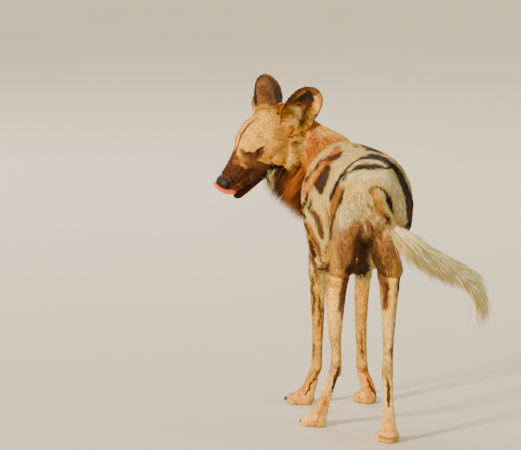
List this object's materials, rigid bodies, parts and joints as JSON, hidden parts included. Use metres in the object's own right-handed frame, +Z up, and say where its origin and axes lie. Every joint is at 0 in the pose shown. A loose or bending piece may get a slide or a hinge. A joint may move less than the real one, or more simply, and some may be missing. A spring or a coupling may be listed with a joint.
{
  "type": "african wild dog",
  "caption": "Life-size African wild dog standing with its head turned back over its left side, big round ears, patched coat and a bushy white tail.",
  "frame": {"origin": "centre of the bounding box at the level of the soles", "axes": "+Y is the way the trunk faces, +X is the dog's right side, +Z up; the head turns back to -X"},
  "size_m": [0.549, 0.8708, 0.7629],
  "materials": {
    "tan_coat": "short sandy fur",
    "rust_coat": "rusty orange fur",
    "white_coat": "cream white fur",
    "dark_coat": "black-brown fur",
    "patched_coat": "cream, tan and black patches of short fur",
    "nose": "moist dark nose leather",
    "tongue": "wet pink tongue",
    "claw": "dark horn"
  },
  "bodies": {
    "root": {"claw_fore_left_1": "claw", "claw_fore_left_2": "claw", "claw_fore_left_3": "claw", "claw_fore_left_4": "claw", "claw_fore_right_1": "claw", "claw_fore_right_2": "claw", "claw_fore_right_3": "claw", "claw_fore_right_4": "claw", "claw_hind_left_1": "claw", "claw_hind_left_2": "claw", "claw_hind_left_3": "claw", "claw_hind_left_4": "claw", "claw_hind_right_1": "claw", "claw_hind_right_2": "claw", "claw_hind_right_3": "claw", "claw_hind_right_4": "claw", "ear_left": "dark_coat", "ear_right": "dark_coat", "eye_left": "dark_coat", "eye_right": "dark_coat", "foreleg_left": "tan_coat", "foreleg_right": "tan_coat", "forepaw_left": "tan_coat", "forepaw_right": "tan_coat", "head": "tan_coat", "hindfoot_left": "tan_coat", "hindfoot_right": "tan_coat", "hindleg_left": "tan_coat", "hindleg_right": "tan_coat", "lower_jaw": "dark_coat", "neck": "rust_coat", "nose": "nose", "rump": "white_coat", "tail_brush": "white_coat", "tail_root": "tan_coat", "tongue": "tongue", "torso": "patched_coat"}
  },
  "joints": []
}
